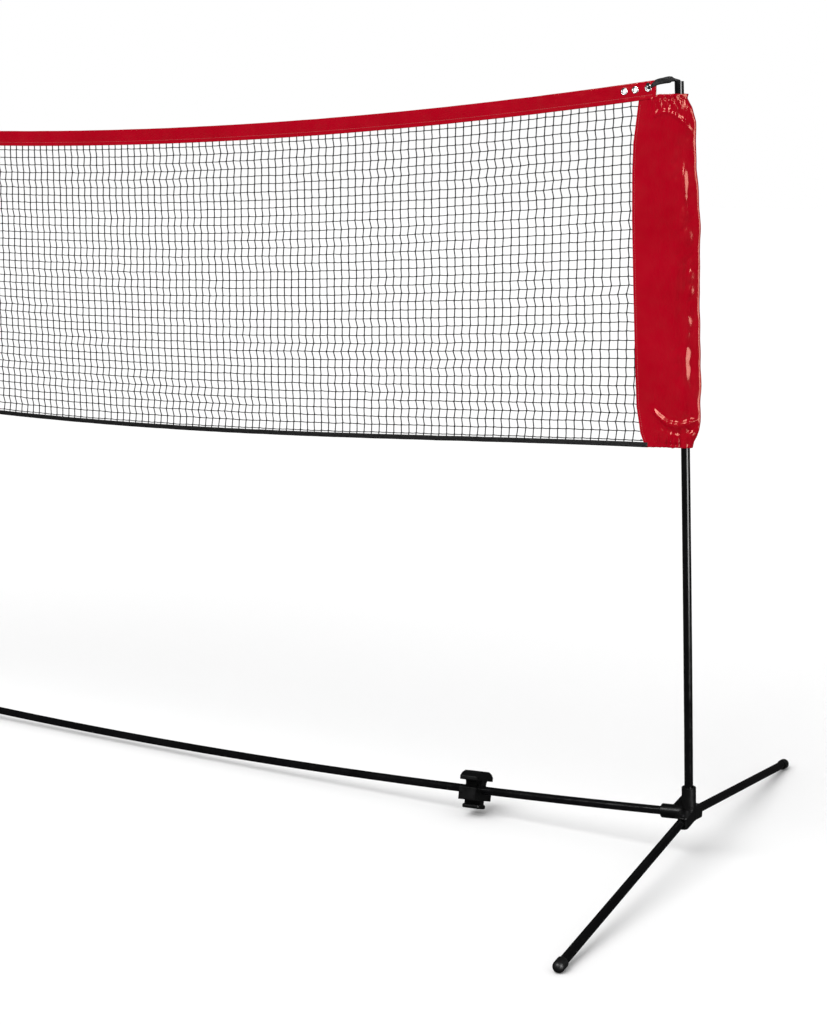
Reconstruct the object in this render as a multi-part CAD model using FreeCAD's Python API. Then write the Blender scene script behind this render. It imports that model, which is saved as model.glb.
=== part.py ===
"""Portable badminton net on a free-standing frame, in millimetres.

+X runs along the net, +Y across the court, +Z up. The origin is on the floor at mid-span.
The frame is symmetric: its right half is built, then mirrored in X, and each front leg in Y.
"""

import FreeCAD, Part
import math
import os

V = FreeCAD.Vector
ORIGIN = V(0, 0, 0)
X_AXIS = V(1, 0, 0)
Y_AXIS = V(0, 1, 0)
Z_AXIS = V(0, 0, 1)
SIDES = (("right", 1), ("left", -1))
ENDS = (("front", 1), ("rear", -1))

# Steel tube
TUBE_R = 8.75
TUBE_WALL = 1.0
SPIGOT_LENGTH = 40.0
SPIGOT_ROOT = 6.0
RUN_FIT = 0.05
SOFT_GAP = 0.5

# Frame layout
HALF_SPAN = 1550.0
BAR_END_Z = 91.0
BAR_MID_Z = 22.0
POST_LENGTH = 1443.0
POST_LEAN = 2.07
POST_BEND_R = 87700.0
POST_JOINTS = (489.0, 975.0)
BAR_JOINTS = (0.0, 562.5, 1125.0)

# Base connector
SOCKET_R = 14.5
SOCKET_FLOOR = 12.0
COLLAR_TOP = 55.0
COLLAR_FOOT = 14.0
BAR_SOCKET_LENGTH = 58.0
BAR_SOCKET_FLOOR = 20.0
MOUTH_CHAMFER = 1.2
GUSSET_THICKNESS = 8.0
GUSSET_RISE = 35.0
GUSSET_REACH = 36.0
GUSSET_LIP = 9.0
GUSSET_FILLET = 1.5

# Leg hinge, whose arms slope down with the legs
HUB_HALF_WIDTH = 14.0
HUB_HALF_HEIGHT = 12.5
HUB_NOSE = 49.0
HUB_NOSE_FILLET = 10.0
PIN_Y = 35.0
PIN_Z = 85.0
PIN_R = 2.5
RIVET_HEAD_R = 4.2
RIVET_HEAD_HEIGHT = 1.3
RIVET_SINK = 0.5
SLOT_HEIGHT = 19.0
SLOT_BACK = 25.5
SLOT_SIDE = 9.3
KNUCKLE_GAP = 0.3
NECK_LENGTH = 16.5
PLUG_LENGTH = 50.0

# Leg and its end cap
FOOT_Y = 619.0
CAP_R = 11.25
CAP_FLAT_DEPTH = 0.5
CAP_BARREL = 16.0

# Storage clip on the crossbar, in its own lateral and upward directions
CLIP_X = 1062.5
CLIP_LENGTH = 40.0
CLIP_TILT = 19.0
CLIP_BORE_GAP = 0.3
JAW_OFFSET = 18.5
JAW_HEIGHT = 12.5
JAW_R = 9.0
CLIP_HALF_WIDTH = 39.0
BLOCK_TOP = 5.0
BLOCK_FOOT = -23.0
LIP_FOOT = 19.5
LIP_TOP = 28.0
SHOULDER_OFFSET = 31.0
SHOULDER_TOP = 35.0
CROWN_HALF_WIDTH = 17.0
CROWN_TOP = 40.0
KEEPER_NECK_HALF = 7.0
KEEPER_HALF_WIDTH = 17.5
KEEPER_TOP = -31.0
KEEPER_FOOT = -40.5
ROUND_EDGE = 8.0
SOFT_EDGE = 4.0
CRISP_EDGE = 2.0
OVERLAP = 3.0
KEEPER_ROUND = 3.0
PANEL_DEPTH = 1.2
PANEL_HALF_LENGTH = 15.0
PANEL_TOP = 1.0
PANEL_FOOT = -19.0

# Net, its bands and its end sleeves
BAND_HALF = 1440.0
BAND_END_TOP_Z = 1538.0
BAND_MID_TOP_Z = 1459.0
BAND_HEIGHT = 34.0
BAND_HALF_THICK = 1.5
TAPE_HEIGHT = 10.0
TAPE_HALF = 1433.0
TAPE_END_Z = 836.0
TAPE_MID_Z = 787.0
MESH_HALF_THICK = 0.6
TRIM_HALF = 5.0
TAPE_STEPS = 16
# Height, inner edge and outer edge of the sleeve, from its foot to its top
SLEEVE_OUTLINE = (
    (831.5, 1438.5, 1538.0),
    (845.0, 1432.5, 1540.0),
    (890.0, 1418.0, 1548.0),
    (1010.0, 1409.0, 1545.0),
    (1230.0, 1399.0, 1538.0),
    (1400.0, 1395.0, 1525.0),
    (1470.0, 1400.0, 1518.0),
    (1510.0, 1411.0, 1503.0),
)
SLEEVE_FOOT_RISE = 7.5
SLEEVE_HALF_THICK = 13.0
SLEEVE_FULLNESS = 0.6
SLEEVE_WALL = 1.0
SLEEVE_STEPS = 12
HEM_WIDTH = 26.0
HEM_HALF_THICK = 1.6

# Eyelets and tension strap
EYELET_X = (1375.0, 1397.5, 1424.0)
EYELET_DROP = 13.0
EYELET_R = 6.5
EYELET_HOLE_R = 5.0
EYELET_BARREL = 0.6
EYELET_LIP = 0.7
STRAP_HALF_THICK = 2.7
STRAP_PLY_THICK = 2.4
STRAP_PLY_HALF = 4.0
STRAP_PLY_REACH = 8.0
STRAP_PLY_RISE = 2.6
STRAP_PASS_R = 3.5
STRAP_PEG_R = 2.4
STRAP_PEG_DEPTH = 8.0
STRAP_PEG_HOLE_GAP = 0.3
STRAP_ROOT_DROP = 9.0
STRAP_ROOT_RISE = 2.0
STRAP_CREST_RISE = 10.5
STRAP_CREST_SPAN = (15.0, 19.0)
STRAP_NECK = 12.0
STRAP_SLOPE = (5.0, 6.0)
STRAP_TIP = (2.0, 3.0)
STRAP_FOLD = 1.5
POST_CAP_RIM = 1.6
POST_CAP_DEPTH = 14.0


class Bend:
    """A large circular arc in the XZ plane that a tube follows, measured along its length."""

    def __init__(self, start, tangent, inward, radius):
        self.start = start
        self.tangent = tangent
        self.centre = start + inward * radius
        self.radius = radius

    def turn(self, length):
        return FreeCAD.Rotation(-Y_AXIS, math.degrees(length / self.radius))

    def point(self, length):
        return self.centre + self.turn(length).multVec(self.start - self.centre)

    def direction(self, length):
        return self.turn(length).multVec(self.tangent)

    def rod(self, begin, end, radius):
        """A solid round bar of this radius that follows the arc from begin to end."""
        ring = Part.makeCircle(radius, self.point(begin), self.direction(begin))
        face = Part.Face(Part.Wire(ring))
        return face.revolve(self.centre, -Y_AXIS, math.degrees((end - begin) / self.radius))

    def pipe(self, begin, end, outer, inner):
        return self.rod(begin, end, outer).cut(self.rod(begin, end, inner))


def arc_radius(half_chord, rise):
    return (half_chord**2 + rise**2) / (2 * rise)


def bar_path():
    radius = arc_radius(HALF_SPAN, BAR_END_Z - BAR_MID_Z)
    return Bend(V(0, 0, BAR_MID_Z), X_AXIS, Z_AXIS, radius)


def post_path():
    lean = math.radians(POST_LEAN)
    up = V(-math.sin(lean), 0, math.cos(lean))
    inward = V(-math.cos(lean), 0, -math.sin(lean))
    return Bend(V(HALF_SPAN, 0, BAR_END_Z), up, inward, POST_BEND_R)


BAR = bar_path()
POST = post_path()
BAR_END_LENGTH = BAR.radius * math.asin(HALF_SPAN / BAR.radius)
LEG_DIRECTION = V(0, -(FOOT_Y - PIN_Y), CAP_R - CAP_FLAT_DEPTH - PIN_Z)
LEG_LENGTH = LEG_DIRECTION.Length
LEG_DIRECTION = LEG_DIRECTION / LEG_LENGTH
LEG_SLOPE = math.degrees(math.asin(-LEG_DIRECTION.z))
PIN_POINT = V(HALF_SPAN, -PIN_Y, PIN_Z)
PIN_AXIS = V(0, LEG_DIRECTION.z, -LEG_DIRECTION.y)


def fuse(shapes):
    joined = shapes[0].multiFuse(shapes[1:])
    return joined.removeSplitter()


def cylinder(point, direction, radius, begin, end):
    """A round bar along direction, from begin to end measured from point."""
    return Part.makeCylinder(radius, end - begin, point + direction * begin, direction)


def block(low, high):
    return Part.makeBox(high[0] - low[0], high[1] - low[1], high[2] - low[2], V(*low))


def rounded_wire(corners, place):
    """A closed wire through corners (a, b, fillet radius), put into space by place(a, b)."""
    arcs = []
    count = len(corners)
    for i, (a, b, radius) in enumerate(corners):
        here = V(a, b, 0)
        back = V(*corners[i - 1][:2], 0) - here
        ahead = V(*corners[(i + 1) % count][:2], 0) - here
        back.normalize()
        ahead.normalize()
        half = math.acos(max(-1, min(1, back.dot(ahead)))) / 2
        reach = radius / math.tan(half)
        middle = (back + ahead).normalize() * (radius / math.sin(half) - radius)
        arcs.append((here + back * reach, here + middle, here + ahead * reach, radius))
    edges = []
    for i, (begin, middle, end, radius) in enumerate(arcs):
        if radius > 0:
            places = [place(p.x, p.y) for p in (begin, middle, end)]
            edges.append(Part.Arc(*places).toShape())
        following = arcs[(i + 1) % count][0]
        if (following - end).Length > 1e-6:
            edges.append(Part.makeLine(place(end.x, end.y), place(following.x, following.y)))
    return Part.Wire(edges)


def plate(corners, place, thickness):
    """A prism on a rounded outline, thickness being the vector that it is drawn along."""
    return Part.Face(rounded_wire(corners, place)).extrude(thickness)


def spigot_tube(path, begin, end, plugged):
    """One frame tube. A plugged end carries the reduced spigot that enters the next tube."""
    inner = TUBE_R - TUBE_WALL
    tube = path.pipe(begin, end, TUBE_R, inner)
    if not plugged:
        return tube
    far = end + SPIGOT_LENGTH
    spigot = path.pipe(end - SPIGOT_ROOT, far, inner - RUN_FIT, inner - TUBE_WALL)
    root = path.pipe(end - SPIGOT_ROOT, end, TUBE_R - TUBE_WALL / 2, inner - TUBE_WALL)
    return fuse([tube, root, spigot])


def centre_ferrule():
    """The short inner tube that joins the two halves of the crossbar at mid-span."""
    outer = TUBE_R - TUBE_WALL - 2 * RUN_FIT
    return BAR.pipe(-SPIGOT_LENGTH, SPIGOT_LENGTH, outer, outer - TUBE_WALL)


def socket_solid(path_point, direction, begin, end):
    """A socket's outside, with its mouth edge chamfered."""
    body = cylinder(path_point, direction, SOCKET_R, begin, end - MOUTH_CHAMFER)
    mouth = Part.makeCone(
        SOCKET_R,
        SOCKET_R - MOUTH_CHAMFER,
        MOUTH_CHAMFER,
        path_point + direction * (end - MOUTH_CHAMFER),
        direction,
    )
    return body.fuse(mouth)


def sloped(shape, sign):
    """A level hinge part of the front leg, tipped down with the leg, or its rear mirror image."""
    tipped = shape.copy()
    tipped.rotate(PIN_POINT, X_AXIS, LEG_SLOPE)
    return tipped if sign > 0 else tipped.mirror(ORIGIN, Y_AXIS)


def hinge_arm():
    """The level arm for one leg, with a straight outboard wall and a nose rounded about the pin."""
    low = PIN_Z - HUB_HALF_HEIGHT
    near = HALF_SPAN - HUB_HALF_WIDTH
    far = HALF_SPAN + HUB_HALF_WIDTH
    corners = (
        (near, 0, 0),
        (near, -HUB_NOSE, HUB_HALF_WIDTH - 1),
        (far, -HUB_NOSE, HUB_NOSE_FILLET),
        (far, 0, 0),
    )
    arm = plate(corners, lambda a, b: V(a, b, low), Z_AXIS * (2 * HUB_HALF_HEIGHT))
    brink = HUB_HALF_HEIGHT - MOUTH_CHAMFER / 2
    edges = [e for e in arm.Edges if abs(e.CenterOfMass.z - PIN_Z) > brink]
    outer = [e for e in edges if abs(e.CenterOfMass.y) > MOUTH_CHAMFER]
    return arm.makeFillet(MOUTH_CHAMFER, outer)


def hinge_slot():
    """The level space for one leg's knuckle, open towards mid-span and outwards."""
    low = (HALF_SPAN - 2 * HUB_HALF_WIDTH, -2 * HUB_NOSE, PIN_Z - SLOT_HEIGHT / 2)
    high = (HALF_SPAN + SLOT_SIDE, -SLOT_BACK, PIN_Z + SLOT_HEIGHT / 2)
    return block(low, high)


def base_connector():
    """The moulded corner piece: post collar, crossbar socket, two hinge arms and a gusset."""
    up = POST.direction(0)
    inboard = -BAR.direction(BAR_END_LENGTH)
    corner = POST.point(0)
    collar = socket_solid(corner, up, -COLLAR_FOOT, COLLAR_TOP)
    socket = socket_solid(corner, inboard, 0, BAR_SOCKET_LENGTH)
    root_x = HALF_SPAN - SOCKET_R / 2
    gusset_corners = (
        (root_x, BAR_END_Z + GUSSET_RISE, 0),
        (HALF_SPAN - SOCKET_R - GUSSET_FILLET, BAR_END_Z + GUSSET_RISE, GUSSET_FILLET),
        (HALF_SPAN - GUSSET_REACH, BAR_END_Z + GUSSET_LIP, GUSSET_FILLET),
        (root_x, BAR_END_Z, 0),
    )
    half = GUSSET_THICKNESS / 2
    gusset = plate(gusset_corners, lambda a, b: V(a, -half, b), Y_AXIS * GUSSET_THICKNESS)
    arms = [sloped(hinge_arm(), sign) for sign in (1, -1)]
    solid = fuse([collar, socket, gusset] + arms)
    bore_r = TUBE_R + RUN_FIT
    bar_mouth = BAR_END_LENGTH - BAR_SOCKET_LENGTH - 1
    cuts = [
        POST.rod(SOCKET_FLOOR, COLLAR_TOP + 1, bore_r),
        BAR.rod(bar_mouth, BAR_END_LENGTH - BAR_SOCKET_FLOOR, bore_r),
    ]
    pin_reach = 2 * HUB_HALF_HEIGHT
    pin_hole = cylinder(PIN_POINT, Z_AXIS, PIN_R, -pin_reach, pin_reach)
    for sign in (1, -1):
        cuts.append(sloped(hinge_slot(), sign))
        cuts.append(sloped(pin_hole, sign))
    return solid.cut(cuts)


def hinge_pin():
    """The rivet that a leg turns on, square to the leg."""
    half = HUB_HALF_HEIGHT
    shank = cylinder(PIN_POINT, PIN_AXIS, PIN_R, -half - RIVET_SINK, half + RIVET_SINK)
    top = cylinder(PIN_POINT, PIN_AXIS, RIVET_HEAD_R, half, half + RIVET_HEAD_HEIGHT)
    foot = cylinder(PIN_POINT, PIN_AXIS, RIVET_HEAD_R, -half - RIVET_HEAD_HEIGHT, -half)
    return fuse([shank, top, foot])


def leg_knuckle():
    """The plug in the leg's inner end, with the eye that turns on the pin."""
    half = SLOT_HEIGHT / 2 - KNUCKLE_GAP
    eye = cylinder(PIN_POINT, PIN_AXIS, TUBE_R, -half, half)
    neck = cylinder(PIN_POINT, LEG_DIRECTION, TUBE_R, 0, NECK_LENGTH)
    spigot_r = TUBE_R - TUBE_WALL - RUN_FIT
    spigot = cylinder(PIN_POINT, LEG_DIRECTION, spigot_r, NECK_LENGTH / 2, PLUG_LENGTH)
    solid = fuse([eye, neck, spigot])
    return solid.cut(cylinder(PIN_POINT, PIN_AXIS, PIN_R + RUN_FIT, -PLUG_LENGTH, PLUG_LENGTH))


def leg_tube():
    outer = cylinder(PIN_POINT, LEG_DIRECTION, TUBE_R, NECK_LENGTH, LEG_LENGTH - 2)
    inner = cylinder(PIN_POINT, LEG_DIRECTION, TUBE_R - TUBE_WALL, NECK_LENGTH, LEG_LENGTH)
    return outer.cut(inner)


def leg_cap():
    """The moulded cap on the leg's tip, with the small flat that it stands on."""
    ball = Part.makeSphere(CAP_R, PIN_POINT + LEG_DIRECTION * LEG_LENGTH)
    barrel = cylinder(PIN_POINT, LEG_DIRECTION, CAP_R, LEG_LENGTH - CAP_BARREL, LEG_LENGTH)
    bore = cylinder(PIN_POINT, LEG_DIRECTION, TUBE_R + RUN_FIT, 0, LEG_LENGTH - 1)
    mouth = Part.makeCone(
        TUBE_R + RUN_FIT + MOUTH_CHAMFER,
        TUBE_R + RUN_FIT,
        MOUTH_CHAMFER,
        PIN_POINT + LEG_DIRECTION * (LEG_LENGTH - CAP_BARREL),
        LEG_DIRECTION,
    )
    under = block((0, -2 * FOOT_Y, -CAP_R), (2 * HALF_SPAN, 0, 0))
    return fuse([ball, barrel]).cut([bore, mouth, under])


def clip_place():
    """Where the storage clip sits: on the crossbar's axis, tipped about it."""
    angle = math.asin(CLIP_X / BAR.radius)
    along = FreeCAD.Rotation(Y_AXIS, -math.degrees(angle))
    tip = FreeCAD.Rotation(X_AXIS, -CLIP_TILT)
    return FreeCAD.Placement(BAR.point(BAR.radius * angle), along.multiply(tip))


def clip_section(corners):
    half = CLIP_LENGTH / 2
    return plate(corners, lambda a, b: V(-half, a, b), X_AXIS * CLIP_LENGTH)


def mirrored_corners(corners):
    return corners + tuple((-a, b, r) for a, b, r in reversed(corners))


def storage_clip():
    """A block on the crossbar with a round jaw on each side and a small keeper below."""
    wide = CLIP_HALF_WIDTH
    crown = (
        (wide, LIP_FOOT, CRISP_EDGE),
        (wide, LIP_TOP, SOFT_EDGE),
        (SHOULDER_OFFSET, SHOULDER_TOP, ROUND_EDGE),
        (CROWN_HALF_WIDTH, CROWN_TOP, ROUND_EDGE),
    )
    neck = ((JAW_OFFSET, BLOCK_TOP - OVERLAP, 0), (JAW_OFFSET, LIP_FOOT + OVERLAP, 0))
    body = ((wide - 1, BLOCK_FOOT, CRISP_EDGE), (wide, BLOCK_TOP, CRISP_EDGE))
    keeper_neck = (
        (KEEPER_NECK_HALF, KEEPER_TOP - OVERLAP, 0),
        (KEEPER_NECK_HALF, BLOCK_FOOT + OVERLAP, 0),
    )
    keeper = (
        (KEEPER_HALF_WIDTH, KEEPER_FOOT, SOFT_EDGE),
        (KEEPER_HALF_WIDTH, KEEPER_TOP, SOFT_EDGE),
    )
    sections = [mirrored_corners(c) for c in (crown, neck, body, keeper_neck)]
    button = clip_section(mirrored_corners(keeper))
    brink = CLIP_LENGTH / 2 - KEEPER_ROUND
    rims = [e for e in button.Edges if abs(e.CenterOfMass.x) > brink]
    button = button.makeFillet(KEEPER_ROUND, rims)
    solid = fuse([clip_section(c) for c in sections] + [button])
    reach = CLIP_LENGTH
    cuts = [cylinder(ORIGIN, X_AXIS, TUBE_R + CLIP_BORE_GAP, -reach, reach)]
    panel = block(
        (-PANEL_HALF_LENGTH, wide - PANEL_DEPTH, PANEL_FOOT),
        (PANEL_HALF_LENGTH, wide + PANEL_DEPTH, PANEL_TOP),
    )
    cuts += [panel, panel.mirror(ORIGIN, Y_AXIS)]
    for side in (1, -1):
        jaw = V(0, JAW_OFFSET * side, JAW_HEIGHT)
        cuts.append(cylinder(jaw, X_AXIS, JAW_R, -reach, reach))
    solid = solid.cut(cuts)
    solid.Placement = clip_place()
    return solid


def band_arc():
    rise = BAND_END_TOP_Z - BAND_MID_TOP_Z
    return arc_radius(BAND_HALF, rise)


def band_z(x, drop=0.0):
    """Height of the band's top edge above x, or of the line that lies drop below it."""
    radius = band_arc()
    return BAND_MID_TOP_Z + radius - math.sqrt((radius + drop) ** 2 - x**2)


def band_solid(margin, half_thick):
    """The sagging headband, grown by margin where a neighbour is cut back to clear it."""
    reach = BAND_HALF + margin
    lower = BAND_HEIGHT + margin

    def at(x, drop):
        return V(x, -half_thick, band_z(x, drop))

    top = Part.Arc(at(-reach, -margin), at(0, -margin), at(reach, -margin)).toShape()
    foot = Part.Arc(at(reach, lower), at(0, lower), at(-reach, lower)).toShape()
    right = Part.makeLine(at(reach, -margin), at(reach, lower))
    left = Part.makeLine(at(-reach, lower), at(-reach, -margin))
    face = Part.Face(Part.Wire([top, right, foot, left]))
    return face.extrude(Y_AXIS * (2 * half_thick))


def eyelet_points():
    return [V(x, 0, band_z(x, EYELET_DROP)) for x in EYELET_X]


def headband():
    """The band along the net's top edge, with a hole for each eyelet at both ends."""
    holes = []
    for point in eyelet_points():
        hole_r = EYELET_HOLE_R + EYELET_BARREL + RUN_FIT
        hole = cylinder(point, Y_AXIS, hole_r, -2 * BAND_HALF_THICK, 2 * BAND_HALF_THICK)
        holes += [hole, hole.mirror(ORIGIN, X_AXIS)]
    return band_solid(0, BAND_HALF_THICK).cut(holes)


def eyelets():
    """Three rolled metal rings in one end of the band, as separate solids."""
    rings = []
    for point in eyelet_points():
        barrel_r = EYELET_HOLE_R + EYELET_BARREL
        outer = BAND_HALF_THICK + EYELET_LIP
        parts = [cylinder(point, Y_AXIS, barrel_r, -outer, outer)]
        parts.append(cylinder(point, Y_AXIS, EYELET_R, BAND_HALF_THICK, outer))
        parts.append(cylinder(point, Y_AXIS, EYELET_R, -outer, -BAND_HALF_THICK))
        bore = cylinder(point, Y_AXIS, EYELET_HOLE_R, -outer - 1, outer + 1)
        rings.append(fuse(parts).cut(bore))
    return Part.makeCompound(rings)


def tape_z(x):
    """Height of the bottom tape's centre line, which hangs flat in the middle."""
    share = (x / TAPE_HALF) ** 2
    return TAPE_MID_Z + (TAPE_END_Z - TAPE_MID_Z) * (1.5 * share - 0.5 * share**2)


def tape_edge(offset, reach, y):
    """A smooth line along the tape, offset up or down from its centre line."""
    xs = [reach * (2 * i / TAPE_STEPS - 1) for i in range(TAPE_STEPS + 1)]
    curve = Part.BSplineCurve()
    curve.interpolate([V(x, y, tape_z(x) + offset) for x in xs])
    return curve.toShape()


def bottom_tape():
    half = TAPE_HEIGHT / 2
    y = -BAND_HALF_THICK
    top = tape_edge(half, TAPE_HALF, y)
    foot = tape_edge(-half, TAPE_HALF, y)
    ends = [
        Part.makeLine(top.Vertexes[i].Point, foot.Vertexes[i].Point) for i in (0, 1)
    ]
    face = Part.Face(Part.Wire(Part.__sortEdges__([top, foot] + ends)))
    return face.extrude(Y_AXIS * (2 * BAND_HALF_THICK))


def net_mesh():
    """The netting as one thin panel, trimmed to the band, the tape and both sleeves."""
    y = -MESH_HALF_THICK
    foot_z = TAPE_MID_Z - TAPE_HEIGHT
    foot_x = SLEEVE_OUTLINE[0][1] - SOFT_GAP
    edge = [(foot_x, foot_z)] + [(x - SOFT_GAP, z) for z, x, _ in SLEEVE_OUTLINE]
    corners = edge + [(-x, z) for x, z in reversed(edge)]
    outline = Part.makePolygon([V(x, y, z) for x, z in corners + corners[:1]])
    panel = Part.Face(outline).extrude(Y_AXIS * (2 * MESH_HALF_THICK))
    band_room = band_solid(SOFT_GAP, 2 * BAND_HALF_THICK)
    return panel.cut([band_room, over_band(), under_tape_top()])


def under_tape_top():
    """Everything below the tape's upper edge, for trimming the netting to it."""
    edge = tape_edge(TAPE_HEIGHT / 2 + SOFT_GAP, BAND_HALF, -TRIM_HALF)
    tips = [edge.valueAt(edge.FirstParameter), edge.valueAt(edge.LastParameter)]
    drop = V(0, 0, -BAND_HEIGHT - TAPE_HEIGHT) * 2
    rails = [
        Part.makeLine(tips[1], tips[1] + drop),
        Part.makeLine(tips[1] + drop, tips[0] + drop),
        Part.makeLine(tips[0] + drop, tips[0]),
    ]
    return Part.Face(Part.Wire([edge] + rails)).extrude(Y_AXIS * (2 * TRIM_HALF))


def over_band():
    """Everything above the headband's middle line, for trimming the netting to it."""
    reach = BAND_HALF
    points = [V(x, -TRIM_HALF, band_z(x, BAND_HEIGHT / 2)) for x in (-reach, 0, reach)]
    arc = Part.Arc(*points).toShape()
    lift = V(0, 0, 2 * BAND_HEIGHT)
    rails = [
        Part.makeLine(points[0], points[0] + lift),
        Part.makeLine(points[0] + lift, points[2] + lift),
        Part.makeLine(points[2] + lift, points[2]),
    ]
    return Part.Face(Part.Wire([arc] + rails)).extrude(Y_AXIS * (2 * TRIM_HALF))


def post_x(z):
    """X of the post's axis at height z."""
    rise = (z - BAR_END_Z) / math.cos(math.radians(POST_LEAN))
    return POST.point(rise).x


def sleeve_bulge(share):
    """How full the pocket is between its seam and its outer fold, from 0 to 1."""
    return math.sin(math.pi * share**2) ** SLEEVE_FULLNESS


def sleeve_level(upper, z, inner, outer, rise):
    """A closed polygon through upper's points and their mirror images, rising outwards."""
    lower = [(x, -y) for x, y in reversed(upper)]
    ring = upper + lower + upper[:1]
    slope = rise / (outer - inner)
    return Part.makePolygon([V(x, y, z + slope * (x - inner)) for x, y in ring])


def sleeve_section(z, inner, outer, rise):
    """One level of the sleeve: a flat hem that opens into the pocket round the post."""
    seam = inner + HEM_WIDTH
    hem = HEM_HALF_THICK
    upper = [(inner, hem), (seam, hem)]
    for i in range(1, SLEEVE_STEPS):
        share = i / SLEEVE_STEPS
        y = hem + (SLEEVE_HALF_THICK - hem) * sleeve_bulge(share)
        upper.append((seam + share * (outer - seam), y))
    upper.append((outer, hem))
    return sleeve_level(upper, z, inner, outer, rise)


def sleeve_pocket_section(z, inner, outer, rise):
    """The pocket's inside at one level, from its seam to just inside the outer fold."""
    seam = inner + HEM_WIDTH
    half_thick = SLEEVE_HALF_THICK - 1.5 * SLEEVE_WALL
    upper = []
    for i in range(1, SLEEVE_STEPS):
        share = i / SLEEVE_STEPS
        upper.append((seam + share * (outer - seam), half_thick * sleeve_bulge(share)))
    return sleeve_level(upper, z, inner, outer, rise)


def end_sleeve():
    """The pocket that slides over the post, open at its top and foot."""
    outside = []
    inside = []
    last = len(SLEEVE_OUTLINE) - 1
    for i, (z, inner, outer) in enumerate(SLEEVE_OUTLINE):
        rise = SLEEVE_FOOT_RISE if i == 0 else 0
        past = {0: -SLEEVE_WALL, last: SLEEVE_WALL}.get(i, 0)
        outside.append(sleeve_section(z, inner, outer, rise))
        inside.append(sleeve_pocket_section(z + past, inner, outer, rise))
    shell = Part.makeLoft(outside, True, True).cut(Part.makeLoft(inside, True, True))
    return shell.cut([band_solid(SOFT_GAP, 2 * SLEEVE_HALF_THICK), over_band_block()])


def over_band_block():
    """The corner above the headband's end, which the sleeve leaves free."""
    thick = 2 * SLEEVE_HALF_THICK
    foot = BAND_END_TOP_Z - BAND_HEIGHT + 1
    low = (BAND_HALF - BAND_HEIGHT - HEM_WIDTH, -thick, foot)
    return block(low, (BAND_HALF + SOFT_GAP, thick, foot + 2 * BAND_HEIGHT))


def strap_bridge(root_x, root_z, tip):
    """The strap's run from the band's end to the post top, thick in the middle."""
    seat = tip.z + POST_CAP_RIM + KNUCKLE_GAP
    crest = tip.z + STRAP_CREST_RISE
    spine = (
        (root_x, root_z - STRAP_ROOT_DROP, 0),
        (tip.x - STRAP_CREST_SPAN[1], tip.z - 1, CRISP_EDGE),
        (tip.x - STRAP_NECK, seat, 1),
        (tip.x + STRAP_TIP[1], seat, 0),
        (tip.x + STRAP_TIP[0], tip.z + STRAP_TIP[1], STRAP_FOLD),
        (tip.x - STRAP_SLOPE[0], tip.z + STRAP_SLOPE[1], STRAP_FOLD),
        (tip.x - STRAP_CREST_SPAN[0], crest, STRAP_FOLD),
        (tip.x - STRAP_CREST_SPAN[1], crest, STRAP_FOLD),
        (root_x, root_z + STRAP_ROOT_RISE, 0),
    )
    half = STRAP_HALF_THICK
    return plate(spine, lambda a, b: V(a, -half, b), Y_AXIS * (2 * half))


def tension_strap():
    """Strap that holds the net taut: two plies round the band's end, then one to the post."""
    last = eyelet_points()[-1]
    tip = POST.point(POST_LENGTH)
    root_x = BAND_HALF + SOFT_GAP
    far_x = root_x + STRAP_PLY_REACH
    half = STRAP_PLY_HALF
    ply = (
        (last.x - half, last.z + 2 * half, half),
        (last.x - half, last.z - half, half / 2),
        (last.x + 2 * half, last.z - half, half),
        (far_x, BAND_END_TOP_Z - STRAP_PLY_REACH, CRISP_EDGE),
        (far_x, BAND_END_TOP_Z + STRAP_PLY_RISE, CRISP_EDGE),
    )
    clear = BAND_HALF_THICK + EYELET_LIP + KNUCKLE_GAP
    front = plate(ply, lambda a, b: V(a, -clear, b), Y_AXIS * -STRAP_PLY_THICK)
    reach = clear + STRAP_PLY_THICK / 2
    through = cylinder(last, Y_AXIS, STRAP_PASS_R, -reach, reach)
    peg_top = V(tip.x, 0, tip.z + POST_CAP_RIM + 2 * KNUCKLE_GAP)
    peg = cylinder(peg_top, -Z_AXIS, STRAP_PEG_R, 0, STRAP_PEG_DEPTH)
    bridge = strap_bridge(root_x, BAND_END_TOP_Z, tip)
    return fuse([bridge, through, peg, front, front.mirror(ORIGIN, Y_AXIS)])


def post_top_cap():
    """The rimmed plug in the post's top end, with a hole for the strap's peg."""
    inner = TUBE_R - TUBE_WALL - RUN_FIT
    tip = POST.point(POST_LENGTH)
    up = POST.direction(POST_LENGTH)
    rim = cylinder(tip, up, TUBE_R, 0, POST_CAP_RIM)
    plug = cylinder(tip, up, inner, -POST_CAP_DEPTH, 1)
    hole_r = STRAP_PEG_R + STRAP_PEG_HOLE_GAP
    hole = cylinder(tip, Z_AXIS, hole_r, -2 * POST_CAP_DEPTH, 2 * POST_CAP_RIM)
    return fuse([rim, plug]).cut(hole)


def save(name, shape):
    shape.exportStep(os.path.join("parts", name + ".step"))


def save_pair(name, shape):
    """Writes a piece of the right end and its mirror image at the left end."""
    for side, sign in SIDES:
        save(f"{name}_{side}", shape if sign > 0 else shape.mirror(ORIGIN, X_AXIS))


def save_four(name, shape):
    """Writes a piece of the right front leg for all four legs."""
    for end, sign in ENDS:
        turned = shape if sign > 0 else shape.mirror(ORIGIN, Y_AXIS)
        save_pair(f"{name}_{end}", turned)


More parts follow.
